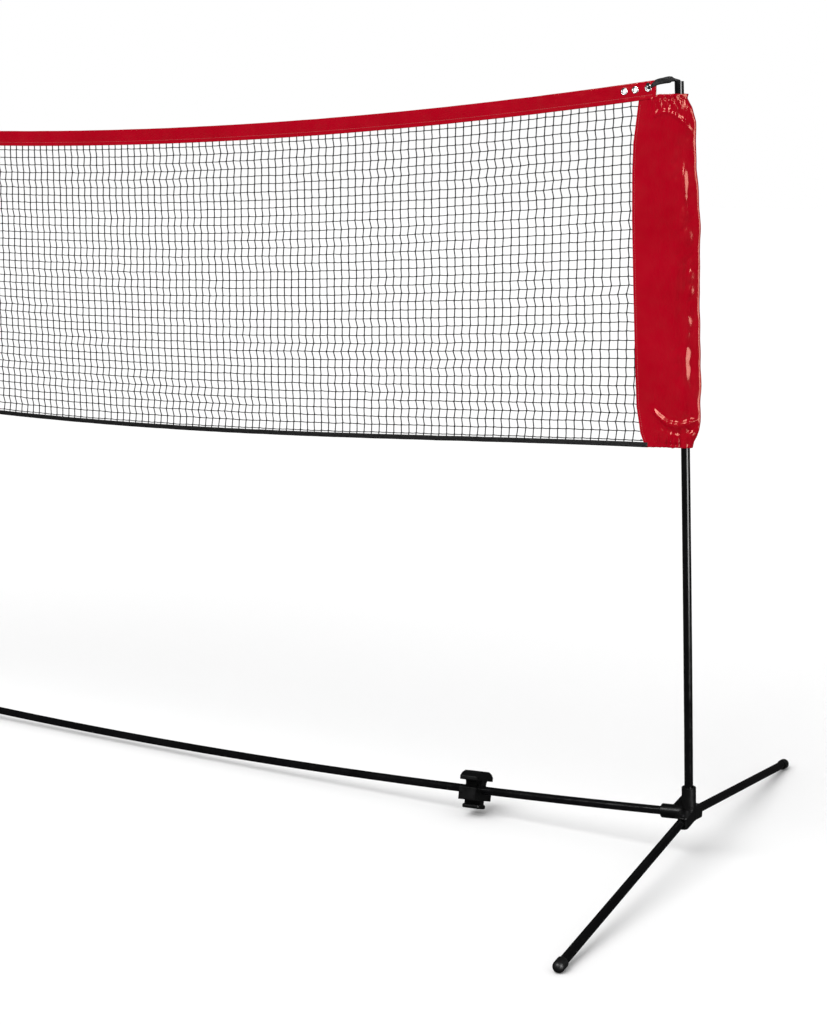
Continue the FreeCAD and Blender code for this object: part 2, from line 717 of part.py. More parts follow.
def main():
    os.makedirs("parts", exist_ok=True)
    save_pair("base_connector", base_connector())
    post_ends = (SOCKET_FLOOR,) + POST_JOINTS + (POST_LENGTH,)
    for i, name in enumerate(("post_lower", "post_middle", "post_upper")):
        tube = spigot_tube(POST, post_ends[i], post_ends[i + 1], i < len(POST_JOINTS))
        save_pair(name, tube)
    bar_ends = BAR_JOINTS + (BAR_END_LENGTH - BAR_SOCKET_FLOOR,)
    for i, name in enumerate(("crossbar_inner", "crossbar_middle", "crossbar_outer")):
        save_pair(name, spigot_tube(BAR, bar_ends[i], bar_ends[i + 1], name != "crossbar_outer"))
    save("crossbar_ferrule", centre_ferrule())
    save_four("hinge_pin", hinge_pin())
    save_four("leg_knuckle", leg_knuckle())
    save_four("leg_tube", leg_tube())
    save_four("leg_cap", leg_cap())
    save_pair("storage_clip", storage_clip())
    save_pair("net_sleeve", end_sleeve())
    save_pair("eyelets", eyelets())
    save_pair("tension_strap", tension_strap())
    save_pair("post_top_cap", post_top_cap())
    save("headband", headband())
    save("bottom_tape", bottom_tape())
    save("net_mesh", net_mesh())


main()
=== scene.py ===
import math

import bpy
import numpy as np
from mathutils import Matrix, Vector, noise


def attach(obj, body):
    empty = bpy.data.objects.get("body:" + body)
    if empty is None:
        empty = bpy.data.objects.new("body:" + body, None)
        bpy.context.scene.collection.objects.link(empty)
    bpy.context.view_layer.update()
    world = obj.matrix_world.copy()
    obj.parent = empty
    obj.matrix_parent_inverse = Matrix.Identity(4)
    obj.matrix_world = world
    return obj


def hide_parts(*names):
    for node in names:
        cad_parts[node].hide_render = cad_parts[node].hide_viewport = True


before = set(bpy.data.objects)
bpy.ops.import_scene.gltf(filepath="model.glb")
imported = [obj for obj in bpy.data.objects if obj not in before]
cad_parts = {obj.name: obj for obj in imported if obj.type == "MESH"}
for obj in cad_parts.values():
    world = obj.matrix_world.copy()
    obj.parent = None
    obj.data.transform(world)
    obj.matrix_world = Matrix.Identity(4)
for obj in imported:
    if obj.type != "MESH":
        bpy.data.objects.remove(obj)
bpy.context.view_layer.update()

MM = 0.001
ROOT = "frame_and_net"
SIDES = (("right", 1), ("left", -1))

# Camera, from the solved view of the object
CAMERA_PLACE = (2.7551, -3.2525, 1.3669)
CAMERA_TILT = 79.1604
CAMERA_TURN = 29.5865
CAMERA_LENS = 62.52
CAMERA_SENSOR = 36.0

# Netting, in millimetres
MESH_WIDTH = 18.3
MESH_ROWS = 37
FIRST_ROW_DROP = 9.0
LAST_ROW_LIFT = 3.6
STRAND_R = 1.2
STRAND_SIDES = 4
KNOT_R = 2.15

# Band and tape, in millimetres
BAND_HALF = 1440.0
BAND_END_TOP = 1538.0
BAND_MID_TOP = 1459.0
BAND_HEIGHT = 34.0
BAND_STEPS = 24
BAND_SEAM_DROP = 26.0
BAND_SEAM_Y = 1.32
TAPE_HALF = 1433.0
TAPE_REACH = 1441.0
TAPE_END = 836.0
TAPE_MID = 787.0
TAPE_HEIGHT = 10.0
TAPE_STEPS = 640
TAPE_SEAM_LIFT = 2.6
TAPE_SEAM_Y = 1.18
SEAM_INSET = 3.0
PLY = 0.5
EYELET_X = (1375.0, 1397.5, 1424.0)
EYELET_DROP = 13.0
BAND_HOLE_R = 5.9

# Front half of an eyelet ring's section: radius and Y
EYELET_FRONT = (
    (5.0, -0.4), (5.05, -1.9), (5.4, -2.55), (6.0, -2.75), (6.6, -2.55), (6.95, -2.0),
    (6.9, -1.7), (5.9, -1.9), (5.6, -1.2),
)
EYELET_TURNS = 40

# Post axis, for the sleeve that hangs round it
POST_FOOT = (1550.0, 91.0)
POST_LEAN = 2.07
POST_BEND_R = 87700.0
TUBE_R = 8.75

# The sleeve's edges in millimetres, as height and X
SLEEVE_INNER = (
    (831, 1437.5), (840, 1432.5), (859, 1425), (881, 1421), (910, 1415.5), (1001, 1410), (1139.5, 1403),
    (1274, 1397), (1368, 1395), (1421, 1396), (1499.5, 1405), (1512, 1407),
)
SLEEVE_OUTER = (
    (831, 1535), (845, 1537), (858, 1543), (871, 1547), (889, 1549), (948, 1549), (1008, 1545),
    (1127, 1540), (1223, 1538), (1315, 1534), (1368, 1526), (1459, 1521), (1486, 1514),
    (1503, 1504), (1512, 1506),
)
SLEEVE_FOOT = 831.5
SLEEVE_FOOT_RISE = 6.0
GATHER_DROP = 7.5
SLEEVE_TOP = 1511.0
SLEEVE_ROWS = 250
SLEEVE_COLS = 57
SLEEVE_HEM = 9.0
SLEEVE_SEWN_STRIP = 9.0
SLEEVE_PLY_Y = 0.9
SLEEVE_PLAY = 1.6
SLEEVE_SEAM = (843.0, 1496.0)
SLEEVE_SEAM_INSET = 5.0
SLEEVE_SEAM_Y = 1.2

# Long ridges beside the post: height, reach up and down, size
SLEEVE_RIDGES = ((1448, 44, 4.2), (1352, 30, 4.5), (1010, 60, 4.0), (925, 26, 4.0))

# The strap from the eyelet to the post: X, middle height, half width, half thickness, twist in degrees
STRAP_STATIONS = (
    (1424.5, 1523.8, 3.6, 1.7, 35),
    (1428.0, 1526.3, 4.6, 2.1, 30),
    (1434.0, 1530.2, 5.4, 2.4, 20),
    (1440.0, 1533.4, 5.6, 2.5, 10),
    (1447.0, 1535.2, 5.8, 2.5, -5),
    (1454.0, 1536.2, 5.9, 2.4, -12),
    (1460.0, 1537.2, 6.2, 2.4, -8),
    (1466.0, 1537.9, 6.4, 2.5, 5),
    (1470.5, 1538.4, 5.4, 2.6, 20),
    (1474.0, 1537.6, 3.6, 2.6, 32),
    (1478.0, 1536.9, 2.6, 2.6, 30),
    (1482.0, 1536.4, 2.3, 2.5, 10),
    (1485.0, 1535.9, 2.1, 2.4, 0),
    (1487.5, 1534.6, 2.0, 2.2, 0),
)
STRAP_SAMPLES = 90
STRAP_SIDES = 28
STRAP_LOOK_AHEAD = 1.5
LOOP_STEPS = 24
LOOP_SIDES = 10
LOOP_HALF_WIDTH = 3.4
LOOP_HALF_THICK = 1.0

# Strength of the plain white world, as the camera, matt surfaces and reflections see it
WORLD_SEEN = 1.0
WORLD_MATT = 0.62
WORLD_GLOSS = 0.03
FLOOR_REACH = 60.0


# ---------------------------------------------------------------- shared helpers
def smooth(low, high, value):
    share = np.clip((value - low) / (high - low), 0, 1)
    return share * share * (3 - 2 * share)


def crease(value, width):
    """A narrow ridge where value passes through zero."""
    return math.exp(-((value / width) ** 2))


def noise_at(x, y, z=0.0):
    return noise.noise(Vector((x, y, z)))


def new_mesh(name, points, faces, material, body=ROOT, slot=None):
    """A smooth-shaded mesh object, from points in millimetres, that rides on a body."""
    mesh = bpy.data.meshes.new(name)
    mesh.from_pydata((np.asarray(points) * MM).tolist(), [], faces)
    mesh.update()
    mesh.shade_smooth()
    mesh.materials.append(material)
    piece = bpy.data.objects.new(name, mesh)
    bpy.context.scene.collection.objects.link(piece)
    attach(piece, body)
    return piece


def grid_faces(rows, cols, wrap_rows=False, wrap_cols=False, start=0, flip=False):
    faces = []
    for i in range(rows if wrap_rows else rows - 1):
        for j in range(cols if wrap_cols else cols - 1):
            a = start + i * cols + j
            b = start + i * cols + (j + 1) % cols
            c = start + (i + 1) % rows * cols + (j + 1) % cols
            d = start + (i + 1) % rows * cols + j
            faces.append((a, d, c, b) if flip else (a, b, c, d))
    return faces


def mirrored(points, faces, sign):
    """The same mesh at the other end of the net when sign is -1."""
    if sign > 0:
        return points, faces
    turned = np.asarray(points, float) * (-1, 1, 1)
    return turned, [tuple(reversed(f)) for f in faces]


def thicken(piece):
    """Gives a ply its thickness, half to each side."""
    solid = piece.modifiers.new("ply", "SOLIDIFY")
    solid.thickness = PLY * MM
    solid.offset = 0.0
    solid.use_even_offset = True


def tubes(paths, radius, sides):
    """Closed round strands along several paths of points that lie near the XZ plane."""
    points = []
    faces = []
    for path in paths:
        path = np.asarray(path, float)
        along = np.gradient(path, axis=0)
        along /= np.linalg.norm(along, axis=1)[:, None]
        across = np.cross(along, (0.0, 1.0, 0.0))
        across /= np.linalg.norm(across, axis=1)[:, None]
        beyond = np.cross(along, across)
        start = len(points)
        for k, point in enumerate(path):
            for s in range(sides):
                angle = 2 * math.pi * (s + 0.5) / sides
                ray = across[k] * math.cos(angle) + beyond[k] * math.sin(angle)
                points.append(point + ray * radius)
        faces += grid_faces(len(path), sides, wrap_cols=True, start=start)
        faces.append(tuple(start + s for s in reversed(range(sides))))
        faces.append(tuple(start + (len(path) - 1) * sides + s for s in range(sides)))
    return points, faces


# ---------------------------------------------------------------- materials
# The span of a noise texture's values that a material spreads its roughness over
NOISE_LOW = 0.3
NOISE_HIGH = 0.7


class Shade:
    """A small builder for procedural materials, with coordinates in metres."""

    def __init__(self, name):
        self.material = bpy.data.materials.new(name)
        self.material.use_nodes = True
        self.tree = self.material.node_tree
        self.shader = self.tree.nodes["Principled BSDF"]
        self.place = self.tree.nodes.new("ShaderNodeTexCoord").outputs["Object"]

    def set(self, **values):
        for name, value in values.items():
            self.shader.inputs[name.replace("_", " ")].default_value = value
        return self

    def noise(self, scale, detail, rough=0.5):
        node = self.tree.nodes.new("ShaderNodeTexNoise")
        node.inputs["Scale"].default_value = scale
        node.inputs["Detail"].default_value = detail
        node.inputs["Roughness"].default_value = rough
        self.tree.links.new(self.place, node.inputs["Vector"])
        return node.outputs["Fac"]

    def wave(self, scale, direction, distortion=0.0):
        node = self.tree.nodes.new("ShaderNodeTexWave")
        node.bands_direction = direction
        node.inputs["Scale"].default_value = scale
        node.inputs["Distortion"].default_value = distortion
        self.tree.links.new(self.place, node.inputs["Vector"])
        return node.outputs["Fac"]

    def ramp(self, factor, stops):
        node = self.tree.nodes.new("ShaderNodeValToRGB")
        ramp = node.color_ramp
        while len(ramp.elements) < len(stops):
            ramp.elements.new(0.5)
        for element, (place, colour) in zip(ramp.elements, stops):
            element.position = place
            element.color = (*colour, 1.0)
        self.tree.links.new(factor, node.inputs["Fac"])
        return node.outputs["Color"]

    def product(self, a, b):
        node = self.tree.nodes.new("ShaderNodeMath")
        node.operation = "MULTIPLY"
        for socket, value in zip(node.inputs, (a, b)):
            self.tree.links.new(value, socket)
        return node.outputs["Value"]

    def colour(self, factor, stops):
        self.tree.links.new(self.ramp(factor, stops), self.shader.inputs["Base Color"])
        return self

    def roughness(self, factor, low, high):
        node = self.tree.nodes.new("ShaderNodeMapRange")
        node.inputs["From Min"].default_value = NOISE_LOW
        node.inputs["From Max"].default_value = NOISE_HIGH
        node.inputs["To Min"].default_value = low
        node.inputs["To Max"].default_value = high
        self.tree.links.new(factor, node.inputs["Value"])
        self.tree.links.new(node.outputs["Result"], self.shader.inputs["Roughness"])
        return self

    def bump(self, height, distance, strength, under=None):
        node = self.tree.nodes.new("ShaderNodeBump")
        node.inputs["Strength"].default_value = strength
        node.inputs["Distance"].default_value = distance
        self.tree.links.new(height, node.inputs["Height"])
        if under is not None:
            self.tree.links.new(under, node.inputs["Normal"])
        self.tree.links.new(node.outputs["Normal"], self.shader.inputs["Normal"])
        return node.outputs["Normal"]


def powder_coat():
    s = Shade("black_powder_coat").set(IOR=1.5)
    cloud = s.noise(14, 4)
    s.colour(cloud, ((0.3, (0.0015, 0.0015, 0.0018)), (0.75, (0.004, 0.004, 0.0045))))
    s.roughness(s.noise(60, 3), 0.14, 0.26)
    peel = s.bump(s.noise(900, 2), 0.00006, 0.35)
    s.bump(s.noise(7, 2), 0.0006, 0.15, peel)
    return s.material


def moulded_plastic(name, dark, light, rough_low, rough_high, grain):
    s = Shade(name).set(IOR=1.48)
    s.colour(s.noise(35, 4), ((0.3, (dark,) * 3), (0.75, (light, light, light * 1.08))))
    s.roughness(s.noise(120, 3), rough_low, rough_high)
    fine = s.bump(s.noise(1600, 3), grain, 0.6)
    s.bump(s.noise(90, 2), grain * 3, 0.2, fine)
    return s.material


def pin_steel():
    s = Shade("blackened_rivet_steel").set(Metallic=1.0)
    s.colour(s.noise(400, 3), ((0.3, (0.05, 0.05, 0.055)), (0.8, (0.16, 0.16, 0.165))))
    s.roughness(s.noise(900, 2), 0.28, 0.5)
    s.bump(s.noise(1500, 2), 0.00004, 0.4)
    return s.material


def nickel():
    s = Shade("nickel_plate").set(Metallic=1.0)
    s.colour(s.noise(300, 3), ((0.3, (0.62, 0.61, 0.60)), (0.75, (0.82, 0.82, 0.82))))
    s.roughness(s.noise(700, 2), 0.14, 0.34)
    s.bump(s.noise(900, 2), 0.00003, 0.3)
    return s.material


def vinyl():
    s = Shade("red_coated_vinyl").set(IOR=1.5, Specular_Tint=(1.0, 0.56, 0.42, 1.0))
    cloud = s.noise(9, 5)
    s.colour(cloud, ((0.3, (0.345, 0.0003, 0.0085)), (0.7, (0.395, 0.0006, 0.0115))))
    s.roughness(s.noise(38, 4), 0.10, 0.20)
    grain = s.bump(s.noise(2600, 2), 0.00003, 0.5)
    scrim = s.product(s.wave(180, direction="X"), s.wave(180, direction="Z"))
    cloth = s.bump(scrim, 0.00003, 0.25, grain)
    s.bump(s.noise(60, 4, rough=0.6), 0.0012, 0.16, cloth)
    return s.material


def thread(name, dark, light):
    s = Shade(name).set(IOR=1.45)
    s.colour(s.noise(700, 2), ((0.3, dark), (0.7, light)))
    s.roughness(s.noise(500, 2), 0.45, 0.7)
    s.bump(s.wave(900, direction="DIAGONAL"), 0.00008, 0.5)
    return s.material


def webbing():
    s = Shade("black_woven_webbing").set(IOR=1.45)
    weft = s.wave(330, direction="X", distortion=0.6)
    warp = s.wave(330, direction="Z", distortion=0.6)
    weave = s.product(weft, warp)
    s.colour(weave, ((0.2, (0.0015, 0.0015, 0.002)), (0.9, (0.007, 0.007, 0.008))))
    s.roughness(s.noise(400, 3), 0.42, 0.66)
    s.bump(weave, 0.00035, 0.6)
    return s.material


def binding():
    s = Shade("black_binding_tape").set(IOR=1.45)
    ribs = s.wave(420, direction="X", distortion=0.8)
    s.colour(s.noise(60, 4), ((0.3, (0.001, 0.001, 0.0012)), (0.75, (0.004, 0.004, 0.0045))))
    s.roughness(s.noise(300, 3), 0.5, 0.75)
    s.bump(ribs, 0.0003, 0.6)
    return s.material


def twine():
    s = Shade("black_netting_twine").set(IOR=1.45)
    s.colour(s.noise(45, 3), ((0.3, (0.004, 0.005, 0.006)), (0.75, (0.014, 0.017, 0.019))))
    s.roughness(s.noise(300, 2), 0.5, 0.75)
    s.bump(s.wave(700, direction="DIAGONAL", distortion=0.5), 0.00015, 0.7)
    return s.material


STEEL = powder_coat()
PLASTIC = moulded_plastic("black_moulded_plastic", 0.0012, 0.004, 0.26, 0.38, 0.00005)
SOFT_PLASTIC = moulded_plastic("black_soft_plastic", 0.003, 0.007, 0.36, 0.5, 0.00007)
RIVET = pin_steel()
NICKEL = nickel()
VINYL = vinyl()
# The red thread's colour runs from its own red to a lighter salmon red; the lighter end is a painted
# highlight, standing in for the light its stitches catch.
RED_THREAD_PAINTED_HIGHLIGHT = thread("red_stitching_painted_highlight", (0.36, 0.02, 0.03), (0.60, 0.12, 0.12))
BLACK_THREAD = thread("black_stitching", (0.006, 0.006, 0.007), (0.02, 0.02, 0.022))
WEBBING = webbing()
BINDING = binding()
TWINE = twine()

CAD_LOOKS = (
    (("post_lower", "post_middle", "post_upper", "crossbar", "leg_tube"), STEEL),
    (("base_connector", "post_top_cap", "storage_clip", "leg_knuckle"), PLASTIC),
    (("leg_cap",), SOFT_PLASTIC),
    (("hinge_pin",), RIVET),
)
for name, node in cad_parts.items():
    for starts, material in CAD_LOOKS:
        if name.startswith(starts):
            node.data.materials.clear()
            node.data.materials.append(material)


# ---------------------------------------------------------------- net lines
def arc_z(x, drop):
    rise = BAND_END_TOP - BAND_MID_TOP
    radius = (BAND_HALF**2 + rise**2) / (2 * rise)
    return BAND_MID_TOP + radius - np.sqrt((radius + drop) ** 2 - np.square(x))


def tape_z(x):
    share = np.square(np.asarray(x, float) / TAPE_HALF)
    return TAPE_MID + (TAPE_END - TAPE_MID) * (1.5 * share - 0.5 * np.square(share))


def sleeve_inner(z):
    return float(np.interp(z, *zip(*SLEEVE_INNER)))


def sleeve_outer(z):
    return float(np.interp(z, *zip(*SLEEVE_OUTER)))


def row_z(x, row):
    top = arc_z(x, BAND_HEIGHT) - FIRST_ROW_DROP
    foot = tape_z(x) + TAPE_HEIGHT / 2 + LAST_ROW_LIFT
    return top + (foot - top) * row / (MESH_ROWS - 1)


def knot(column, row):
    """Where one knot hangs, with the slack and drift that keep real netting uneven."""
    x = column * MESH_WIDTH
    z = row_z(x, row)
    lean = 3.2 * noise_at(column * 0.055, row * 0.83, 3.1)
    drift = 2.4 * noise_at(column * 0.02, row * 0.09, 7.7)
    jitter = 0.9 * noise_at(column * 0.91, row * 0.77, 11.3)
    tug = 0.6 + 1.1 * noise_at(column * 0.21, row * 0.17, 13.1)
    jitter += tug * (1 if row % 2 else -1)
    hang = 0.9 * noise_at(column * 0.37, row * 0.31, 17.9)
    hang += 0.8 * noise_at(column * 1.13, row * 0.97, 23.5)
    depth = 1.4 * noise_at(column * 0.08, row * 0.21, 31.7)
    return np.array((x + lean + drift + jitter, depth, z + hang))


def upright_paths(inside, columns):
    """The upright strands, from inside the band's fold, through their knots, to the tape."""
    paths = []
    for c in range(-columns, columns + 1):
        column = [inside[c, r] for r in range(MESH_ROWS) if (c, r) in inside]
        if len(column) < 2:
            continue
        path = []
        if (c, 0) in inside:
            x = column[0][0]
            path.append(np.array((x, 0.0, arc_z(x, BAND_HEIGHT) + 6)))
        for k, here in enumerate(column):
            path.append(here + (0.35, 0, 0.75))
            path.append(here - (0.35, 0, 0.75))
            if k + 1 < len(column):
                there = column[k + 1]
                bow = 0.55 * noise_at(c * 0.63, k * 0.71, 41.0)
                path.append(here * 0.55 + there * 0.45 + (bow, 0, 0))
        if (c, MESH_ROWS - 1) in inside:
            x = column[-1][0]
            path.append(np.array((x, 0.0, tape_z(x) + 1)))
        paths.append(path)
    return paths


def level_paths(inside, columns):
    """The level strands, which end between the plies of the two sleeves."""
    paths = []
    for r in range(MESH_ROWS):
        row = [inside[c, r] for c in range(-columns, columns + 1) if (c, r) in inside]
        for end in (0, -1):
            tip = row[end].copy()
            sign = 1 if tip[0] > 0 else -1
            tip[0] = sign * (sleeve_inner(tip[2]) + 7)
            tip[1] = 0.0
            row.insert(0 if end == 0 else len(row), tip)
        path = []
        for k, here in enumerate(row):
            if k in (0, len(row) - 1):
                path.append(here)
            else:
                path.append(here - (0.8, 0, 0.25))
                path.append(here + (0.8, 0, 0.25))
            if k + 1 < len(row):
                there = row[k + 1]
                sag = -0.35 + 0.5 * noise_at(k * 0.67, r * 0.59, 53.0)
                path.append(here * 0.5 + there * 0.5 + (0, 0, sag))
        paths.append(path)
    return paths


def net():
    columns = int(BAND_HALF // MESH_WIDTH)
    knots = {
        (c, r): knot(c, r) for c in range(-columns, columns + 1) for r in range(MESH_ROWS)
    }
    inside = {
        key: place for key, place in knots.items()
        if abs(place[0]) < sleeve_inner(place[2]) + 2
    }
    strands = (
        ("net_strands_upright", tubes(upright_paths(inside, columns), STRAND_R, STRAND_SIDES)),
        ("net_strands_level", tubes(level_paths(inside, columns), STRAND_R, STRAND_SIDES)),
        ("net_knots", knot_shapes(inside.values())),
    )
    upright, level, tied = (new_mesh(name, *shape, TWINE) for name, shape in strands)
    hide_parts("net_mesh")


def knot_shapes(places):
    """Small twenty-sided knots, each a little turned."""
    sides = 5
    wide, high = 0.89, 0.45
    below = 1 + sides
    last = 1 + 2 * sides
    ring = [
        (wide * math.cos(2 * math.pi * k / sides), wide * math.sin(2 * math.pi * k / sides))
        for k in range(sides)
    ]
    shape = [(0, 0, 1)]
    shape += [(a, b, high) for a, b in ring]
    shape += [(-a, -b, -high) for a, b in ring]
    shape += [(0, 0, -1)]
    faces = []
    for k in range(sides):
        n = (k + 1) % sides
        lower = below + (k + 3) % sides
        following = below + (k + 4) % sides
        faces.append((0, 1 + k, 1 + n))
        faces.append((last, below + n, below + k))
        faces.append((1 + k, lower, 1 + n))
        faces.append((1 + n, lower, following))
    shape = np.array(shape, float) * (1.0, 0.85, 1.15) * KNOT_R
    points = []
    made = []
    for count, place in enumerate(places):
        angle = 0.9 * noise_at(count * 0.7, 0.0, 61.0) + 0.6
        c, d = math.cos(angle), math.sin(angle)
        turn = np.array(((c, 0, d), (0, 1, 0), (-d, 0, c)))
        start = len(points)
        points += list(shape @ turn.T + place)
        made += [tuple(start + v for v in face) for face in faces]
    return points, made


def stitches(name, path, length, gap, radius, material, slot):
    """A row of sewn stitches, short rounded threads along a path of (point, outward) pairs."""
    path = [(np.asarray(p, float), np.asarray(o, float)) for p, o in path]
    places = np.array([p for p, _ in path])
    outs = np.array([o for _, o in path])
    run = np.concatenate(([0], np.cumsum(np.linalg.norm(np.diff(places, axis=0), axis=1))))
    points = []
    faces = []
    count = int(run[-1] // (length + gap))
    profile = ((0.0, 0.25), (0.12, 0.8), (0.5, 1.0), (0.88, 0.8), (1.0, 0.25))
    for k in range(count):
        start = len(points)
        begin = (k + 0.5) * (length + gap) - length / 2
        rows = []
        for share, size in profile:
            at = begin + share * length
            middle = np.array([np.interp(at, run, places[:, i]) for i in range(3)])
            out = np.array([np.interp(at, run, outs[:, i]) for i in range(3)])
            rows.append((middle, out, size))
        along = rows[-1][0] - rows[0][0]
        along /= np.linalg.norm(along)
        for middle, out, size in rows:
            side = np.cross(along, out)
            for s in range(6):
                angle = 2 * math.pi * s / 6
                ray = side * math.cos(angle) + out * (math.sin(angle) + 0.25)
                points.append(middle + ray * radius * size)
        faces += grid_faces(len(profile), 6, wrap_cols=True, start=start, flip=True)
        faces.append(tuple(start + s for s in range(6)))
        faces.append(tuple(start + (len(profile) - 1) * 6 + s for s in reversed(range(6))))
    return new_mesh(name, points, faces, material, slot=slot)


# ---------------------------------------------------------------- headband
def band_stations():
    """Places along the band, closer together where the eyelets are."""
    end = np.concatenate((np.arange(0, 1360, 5.0), np.arange(1360, BAND_HALF + 0.1, 1.25)))
    return np.concatenate((-end[:0:-1], end))


def headband():
    """One strip of vinyl folded over the net's top cord, with its two edges sewn together."""
    stations = band_stations()
    half = 0.95
    flat = half + 0.15
    fall = BAND_HEIGHT - half
    section = [(-flat, BAND_HEIGHT - k * fall / BAND_STEPS) for k in range(BAND_STEPS + 1)]
    for k in range(1, 6):
        angle = math.pi * k / 6
        section.append((-half * math.cos(angle) * 1.1, half * (1 - math.sin(angle))))
    section += [(flat, half + k * fall / BAND_STEPS) for k in range(BAND_STEPS + 1)]
    points = []
    for x in stations:
        for y, drop in section:
            low = drop / BAND_HEIGHT
            ripple = 0.6 * noise_at(x * 0.016, drop * 0.05, 2.0 if y < 0 else 9.0)
            ripple += 0.45 * noise_at(x * 0.07, drop * 0.12, 5.0 if y < 0 else 13.0)
            swell = 0.55 * math.sin(math.pi * min(low / 0.75, 1.0)) ** 1.5
            sewn = 1 - 0.85 * crease(drop - BAND_SEAM_DROP, 2.6)
            press = math.copysign((swell + ripple) * sewn, y)
            edge = 0.35 * noise_at(x * 0.02, 77.0)
            z = float(arc_z(x, drop)) + edge * (1 - low * 0.5)
            points.append((x, y + press, z))
    faces = grid_faces(len(stations), len(section), flip=True)
    points, cut = eyelet_cut(np.array(points), faces)
    band = new_mesh("headband_vinyl", points, cut, VINYL, slot="red_vinyl")
    thicken(band)
    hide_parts("headband")
    for face_name, sign in (("front", -1), ("back", 1)):
        path = [
            ((x, sign * BAND_SEAM_Y, float(arc_z(x, BAND_SEAM_DROP))), (0, sign, 0))
            for x in np.linspace(-1, 1, 481) * (BAND_HALF - SEAM_INSET)
        ]
        name = f"headband_stitching_{face_name}"
        stitches(name, path, 3.4, 1.5, 0.38, RED_THREAD_PAINTED_HIGHLIGHT, "red_vinyl")


def eyelet_cut(points, faces):
    """The band with a round hole at each eyelet, under the ring's flange."""
    moved = np.zeros(len(points), bool)
    for eyelet_x in EYELET_X:
        for sign in (1, -1):
            centre = np.array((sign * eyelet_x, float(arc_z(eyelet_x, EYELET_DROP))))
            away = points[:, (0, 2)] - centre
            reach = np.linalg.norm(away, axis=1)
            near = reach < BAND_HOLE_R
            rim = away[near] / np.maximum(reach[near], 0.01)[:, None] * BAND_HOLE_R
            points[np.ix_(near, (0, 2))] = centre + rim
            moved |= near
    return points, [face for face in faces if not moved[list(face)].all()]


def eyelets(side, sign):
    """Rolled metal rings pressed through the band."""
    ring = EYELET_FRONT + tuple((r, -y) for r, y in reversed(EYELET_FRONT))
    points = []
    faces = []
    for x in EYELET_X:
        centre = np.array((x, 0.0, float(arc_z(x, EYELET_DROP))))
        start = len(points)
        for t in range(EYELET_TURNS):
            angle = 2 * math.pi * t / EYELET_TURNS
            for r, y in ring:
                points.append(centre + (r * math.cos(angle), y, r * math.sin(angle)))
        faces += grid_faces(EYELET_TURNS, len(ring), True, True, start)
    points, faces = mirrored(points, faces, sign)
    piece = new_mesh(f"eyelet_rings_{side}", points, faces, NICKEL, slot="eyelet_metal")
    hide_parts(f"eyelets_{side}")


# ---------------------------------------------------------------- bottom tape
def tape_waver(x):
    """How far the tape strays up or down from its smooth line."""
    return 0.35 * noise_at(x * 0.018, 5.0) + 0.12 * noise_at(x * 0.07, 8.0)


def bottom_tape():
    """Woven binding folded up over the netting's foot."""
    half = 0.9
    rise = TAPE_HEIGHT / 2
    steps = 5
    climb = (TAPE_HEIGHT - half) / steps
    section = [(-half, rise - k * climb) for k in range(steps + 1)]
    for k in range(1, steps):
        angle = math.pi * k / steps
        section.append((-half * math.cos(angle), -rise + half - half * math.sin(angle)))
    section += [(half, -rise + half + k * climb) for k in range(steps + 1)]
    points = []
    for x in np.linspace(-1, 1, TAPE_STEPS + 1) * TAPE_REACH:
        for y, lift in section:
            puff = 0.18 * noise_at(x * 0.05, lift * 0.3, 3.0 if y < 0 else 6.0)
            z = float(tape_z(x)) + lift + tape_waver(x)
            points.append((x, y + math.copysign(puff, y), z))
    faces = grid_faces(TAPE_STEPS + 1, len(section))
    tape = new_mesh("bottom_tape_binding", points, faces, BINDING, slot="black_tape")
    thicken(tape)
    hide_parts("bottom_tape")
    for face_name, sign in (("front", -1), ("back", 1)):
        path = []
        for x in np.linspace(-1, 1, 361) * (TAPE_HALF - SEAM_INSET):
            z = float(tape_z(x)) + TAPE_SEAM_LIFT + tape_waver(x)
            path.append(((x, sign * TAPE_SEAM_Y, z), (0, sign, 0)))
        name = f"bottom_tape_stitching_{face_name}"
        stitches(name, path, 3.0, 1.6, 0.3, BLACK_THREAD, "black_tape")


# ---------------------------------------------------------------- end sleeves
def post_x(z):
    """X of the post's axis at height z."""
    lean = math.radians(POST_LEAN)
    length = (z - POST_FOOT[1]) / math.cos(lean)
    return POST_FOOT[0] - length * math.sin(lean) - length**2 / (2 * POST_BEND_R)


def sleeve(side, sign):
    """A vinyl pocket round the post, sewn flat at its inner edge and gathered at both mouths."""
    points = []
    for i in range(SLEEVE_ROWS + 1):
        points += sleeve_row(SLEEVE_FOOT + (SLEEVE_TOP - SLEEVE_FOOT) * i / SLEEVE_ROWS)
    points = np.array(points)
    faces = grid_faces(SLEEVE_ROWS + 1, 2 * SLEEVE_COLS + 1)
    faces = [face for face in faces if not over_band(points[list(face)].mean(axis=0))]
    points, faces = mirrored(points, faces, sign)
    piece = new_mesh(f"sleeve_vinyl_{side}", points, faces, VINYL, slot="red_vinyl")
    thicken(piece)
    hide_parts(f"net_sleeve_{side}")


def sleeve_stitching(side, sign):
    """The seams that close the pocket along the sleeve's inner edge."""
    for face_name, ply in (("front", -1), ("back", 1)):
        path = []
        for z in np.linspace(*SLEEVE_SEAM, 161):
            x = sleeve_inner(z) + SLEEVE_SEAM_INSET
            path.append(((sign * x, ply * SLEEVE_SEAM_Y, z), (0, ply, 0)))
        name = f"sleeve_stitching_{face_name}_{side}"
        stitches(name, path, 3.2, 1.6, 0.33, RED_THREAD_PAINTED_HIGHLIGHT, "red_vinyl")


def over_band(place):
    """Whether a place is where the sleeve is cut away round the band's end."""
    x, _, z = place
    return x < BAND_HALF + 1.5 and z > float(arc_z(min(x, BAND_HALF), BAND_HEIGHT - 4))


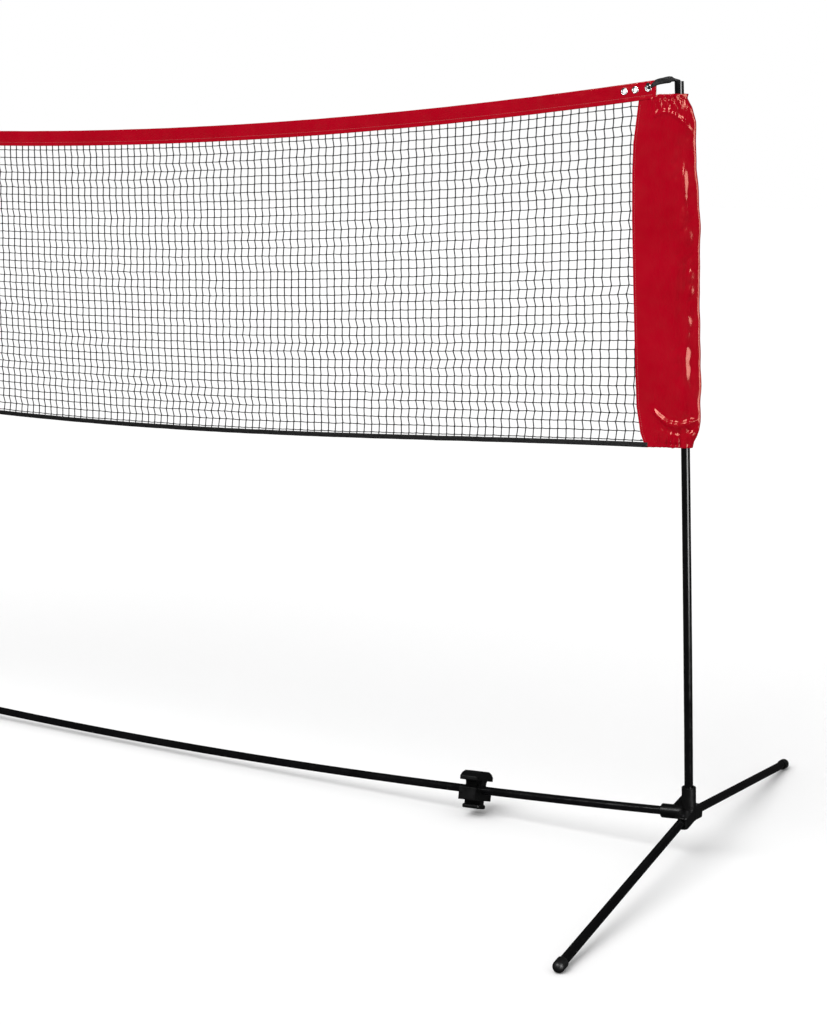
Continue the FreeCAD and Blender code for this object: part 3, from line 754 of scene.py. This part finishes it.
def sleeve_row(z):
    """One level of the sleeve, from the back ply's sewn edge round the post to the front's."""
    inner = sleeve_inner(z)
    outer = sleeve_outer(z)
    from_top = SLEEVE_TOP - z
    from_foot = z - SLEEVE_FOOT
    sway = 3.0 * noise_at(z * 0.021, 4.0, 3.0)
    row = []
    for ply, order in ((1, range(SLEEVE_COLS + 1)), (-1, reversed(range(SLEEVE_COLS)))):
        for k in order:
            share = 1 - (1 - k / SLEEVE_COLS) ** 1.35
            x = inner + (outer - inner) * share
            y = sleeve_depth(x, z, inner, outer)
            y = sleeve_creased(y, x, z, ply, share, from_top, from_foot)
            lift = SLEEVE_FOOT_RISE * share * max(0.0, 1 - from_foot / 60)
            swing = sway * float(smooth(0.55, 0.92, share)) * share
            edge = sleeve_hem(x, ply, from_top, from_foot) * (1 - 0.7 * share**8)
            row.append((x + swing, ply * y, z + lift + edge))
    return row


def logistic(value):
    return 1 / (1 + math.exp(-value))


def sleeve_depth(x, z, inner, outer):
    """Half the pocket's thickness before its folds."""
    middle = post_x(z)
    full = TUBE_R + SLEEVE_PLAY
    if x > middle:
        return full * math.sqrt(max(0.0, 1 - ((x - middle) / (outer - middle)) ** 1.5))
    rate, place = 9, 0.62
    start = inner + SLEEVE_SEWN_STRIP
    share = max(0.0, (x - start) / (middle - start))
    floor = logistic(-rate * place)
    rise = (logistic(rate * (share - place)) - floor) / (logistic(rate * (1 - place)) - floor)
    return SLEEVE_PLY_Y + (full - SLEEVE_PLY_Y) * rise


def sleeve_creased(y, x, z, ply, share, from_top, from_foot):
    """The ply's distance from the net's plane once its creases and gathers have moved it."""
    loose = float(smooth(0.1, 0.32, share))
    outside = float(smooth(0.55, 0.85, share))
    fold = 1 - float(smooth(0.86, 1.0, share))
    seed = 3.0 if ply > 0 else 29.0
    push = 0.0
    for away, reach, slant in ((from_top, 24.0, 0.035), (from_foot, 19.0, -0.03)):
        below = away - GATHER_DROP
        fade = math.exp(-abs(below) / (reach if below > 0 else 9.0))
        drift = 2.4 * noise_at(x * 0.045, seed, z * 0.02)
        tucks = math.sin(x * 0.66 + below * slant * 2 + drift)
        tucks += 0.8 * math.sin(x * 0.41 - below * slant * 3 + 1.7 * drift)
        push += 2.1 * tucks * fade
        push -= 2.4 * crease(below, 1.6)
    sag = z - 880 - 26 * ((x - 1503) / 52) ** 2
    sagging = float(smooth(1440, 1462, x))
    push += (5.2 * crease(sag, 6.5) - 3.6 * crease(sag + 14, 7.0)) * sagging
    drape = z - 1478 + 20 * ((x - 1462) / 40) ** 2
    push += 2.6 * crease(drape, 4.0) * float(smooth(1425, 1445, x))
    push += 0.8 * noise_at(x * 0.03, z * 0.012, seed + 12)
    push *= loose
    push += 7.5 * noise_at(x * 0.065 + z * 0.005, z * 0.009, seed + 5) * outside
    for height, length, size in SLEEVE_RIDGES:
        push += size * crease(x - post_x(z) - 9, 7.0) * crease(z - height, length) * outside
    buckle = noise_at(x * 0.04, z * 0.032, seed + 8)
    push += 2.4 * (abs(buckle) * 2 - 0.4) * outside
    push += 0.5 * noise_at(x * 0.16, z * 0.05, seed + 2) * loose
    moved = max(0.35 * y, y + push * fold)
    beside = (TUBE_R + 0.9) ** 2 - (x - post_x(z)) ** 2
    return max(moved, math.sqrt(max(beside, 0.0)))


def sleeve_hem(x, ply, from_top, from_foot):
    """The uneven edge of the ruffle beyond each gathering line."""
    seed = 2.0 if ply > 0 else 7.0
    wave = 1.3 * noise_at(x * 0.11, seed, 0.0) + 0.9 * noise_at(x * 0.33, seed, 5.0)
    top = max(0.0, 1 - from_top / SLEEVE_HEM) * wave * 1.3
    foot = max(0.0, 1 - from_foot / SLEEVE_HEM) * wave
    return top + foot


# ---------------------------------------------------------------- tension straps
def strap_run():
    """The doubled, twisted webbing from the eyelet to the post, as points and faces."""
    stations = np.array(STRAP_STATIONS, float)
    run = np.concatenate(([0], np.cumsum(np.hypot(*np.diff(stations[:, :2], axis=0).T))))
    away = np.array((0.0, 1.0, 0.0))

    def station(at):
        return np.array([np.interp(at, run, column) for column in stations.T])

    points = []
    for i in range(STRAP_SAMPLES + 1):
        at = run[-1] * i / STRAP_SAMPLES
        x, z, width, thick, twist = station(at)
        ahead = min(at + STRAP_LOOK_AHEAD, run[-1])
        behind = max(at - STRAP_LOOK_AHEAD, 0.0)
        slope = (station(ahead) - station(behind))[:2]
        slope /= np.linalg.norm(slope)
        up = np.array((-slope[1], 0.0, slope[0]))
        angle = math.radians(twist)
        wide = up * math.cos(angle) + away * math.sin(angle)
        thin = away * math.cos(angle) - up * math.sin(angle)
        for s in range(STRAP_SIDES):
            turn = 2 * math.pi * s / STRAP_SIDES
            c, d = math.cos(turn), math.sin(turn)
            a = math.copysign(abs(c) ** 0.6, c) * width
            b = math.copysign(abs(d) ** 0.6, d) * thick
            groove = 1 - 0.16 * crease(a, max(width * 0.22, 0.1))
            points.append(np.array((x, 0, z)) + wide * a + thin * b * groove)
    faces = grid_faces(STRAP_SAMPLES + 1, STRAP_SIDES, wrap_cols=True)
    faces.append(tuple(reversed(range(STRAP_SIDES))))
    faces.append(tuple(STRAP_SAMPLES * STRAP_SIDES + s for s in range(STRAP_SIDES)))
    return points, faces


def strap_loop(start):
    """The loop of webbing through the last eyelet. Its faces count their points from start."""
    eye = np.array((EYELET_X[-1], 0.0, float(arc_z(EYELET_X[-1], EYELET_DROP))))
    places = []
    for k in range(LOOP_STEPS + 1):
        angle = math.radians(-60 + 300 * k / LOOP_STEPS)
        c, d = math.cos(angle), math.sin(angle)
        places.append(eye + (0.6 + 0.88 * c, 4.6 * d, 4.0 - 5.2 * c))
    points = []
    for k, place in enumerate(places):
        tangent = places[min(k + 1, LOOP_STEPS)] - places[max(k - 1, 0)]
        tangent /= np.linalg.norm(tangent)
        across = np.array((1.0, 0.0, 0.0))
        across -= tangent * across.dot(tangent)
        across /= np.linalg.norm(across)
        beyond = np.cross(tangent, across)
        for s in range(LOOP_SIDES):
            turn = 2 * math.pi * s / LOOP_SIDES
            wide = across * math.cos(turn) * LOOP_HALF_WIDTH
            points.append(place + wide + beyond * math.sin(turn) * LOOP_HALF_THICK)
    faces = grid_faces(LOOP_STEPS + 1, LOOP_SIDES, wrap_cols=True, start=start)
    faces.append(tuple(start + s for s in reversed(range(LOOP_SIDES))))
    faces.append(tuple(start + LOOP_STEPS * LOOP_SIDES + s for s in range(LOOP_SIDES)))
    return points, faces


def strap(side, sign):
    """The strap that ties the last eyelet to the top of the post."""
    points, faces = strap_run()
    loop_points, loop_faces = strap_loop(len(points))
    points, faces = mirrored(points + loop_points, faces + loop_faces, sign)
    piece = new_mesh(f"tension_strap_webbing_{side}", points, faces, WEBBING, slot="black_webbing")
    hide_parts(f"tension_strap_{side}")


net()
headband()
bottom_tape()
for side, sign in SIDES:
    eyelets(side, sign)
    sleeve(side, sign)
    sleeve_stitching(side, sign)
    strap(side, sign)


# ---------------------------------------------------------------- studio
def area_light(name, place, target, width, height, power):
    """A soft box that shows in reflections and adds no light of its own to matt surfaces."""
    data = bpy.data.lights.new(name, "AREA")
    data.shape = "RECTANGLE"
    data.size = width
    data.size_y = height
    data.energy = power
    lamp = bpy.data.objects.new(name, data)
    lamp.location = place
    aim = Vector(target) - Vector(place)
    lamp.rotation_euler = aim.to_track_quat("-Z", "Y").to_euler()
    lamp.visible_camera = False
    lamp.visible_diffuse = False
    bpy.context.scene.collection.objects.link(lamp)


def key_light():
    """A broad sun that lights matt surfaces and leaves no highlight."""
    data = bpy.data.lights.new("broad_key", "SUN")
    data.energy = 2.0
    data.angle = math.radians(50)
    sun = bpy.data.objects.new("broad_key", data)
    sun.rotation_euler = Vector((0.35, 0.75, -1.0)).to_track_quat("-Z", "Y").to_euler()
    sun.visible_glossy = False
    bpy.context.scene.collection.objects.link(sun)


def white_background(tree, strength):
    node = tree.nodes.new("ShaderNodeBackground")
    node.inputs["Color"].default_value = (1, 1, 1, 1)
    node.inputs["Strength"].default_value = strength
    return node.outputs[0]


def mixed(tree, factor, low, high):
    node = tree.nodes.new("ShaderNodeMixShader")
    tree.links.new(factor, node.inputs["Fac"])
    tree.links.new(low, node.inputs[1])
    tree.links.new(high, node.inputs[2])
    return node.outputs[0]


def white_world():
    world = bpy.data.worlds.new("studio")
    world.use_nodes = True
    bpy.context.scene.world = world
    tree = world.node_tree
    ray = tree.nodes.new("ShaderNodeLightPath").outputs
    matt = white_background(tree, WORLD_MATT)
    gloss = white_background(tree, WORLD_GLOSS)
    seen = white_background(tree, WORLD_SEEN)
    unseen = mixed(tree, ray["Is Glossy Ray"], matt, gloss)
    whole = mixed(tree, ray["Is Camera Ray"], unseen, seen)
    tree.links.new(whole, tree.nodes["World Output"].inputs["Surface"])


def pale_floor():
    pale = bpy.data.materials.new("pale_floor")
    pale.use_nodes = True
    shader = pale.node_tree.nodes["Principled BSDF"]
    shader.inputs["Base Color"].default_value = (0.95, 0.95, 0.95, 1)
    shader.inputs["Roughness"].default_value = 0.9
    shader.inputs["Specular IOR Level"].default_value = 0.0
    corners = [(a * FLOOR_REACH, b * FLOOR_REACH, 0) for a, b in ((-1, -1), (1, -1), (1, 1), (-1, 1))]
    mesh = bpy.data.meshes.new("floor")
    mesh.from_pydata(corners, [], [(0, 1, 2, 3)])
    mesh.materials.append(pale)
    floor = bpy.data.objects.new("floor", mesh)
    floor.visible_glossy = False
    bpy.context.scene.collection.objects.link(floor)


def camera():
    data = bpy.data.cameras.new("camera")
    data.lens = CAMERA_LENS
    data.sensor_width = CAMERA_SENSOR
    holder = bpy.data.objects.new("camera", data)
    holder.location = CAMERA_PLACE
    holder.rotation_euler = (math.radians(CAMERA_TILT), 0, math.radians(CAMERA_TURN))
    bpy.context.scene.collection.objects.link(holder)
    bpy.context.scene.camera = holder


def studio():
    view = bpy.context.scene.view_settings
    view.view_transform = "Standard"
    view.look = "None"
    white_world()
    pale_floor()
    key_light()
    area_light("side_softbox", (4.4, -1.2, 1.4), (1.5, 0, 1.1), 1.7, 3.0, 170)
    area_light("top_softbox", (1.0, -3.4, 3.4), (1.5, 0, 0.9), 2.6, 1.3, 170)
    camera()


studio()
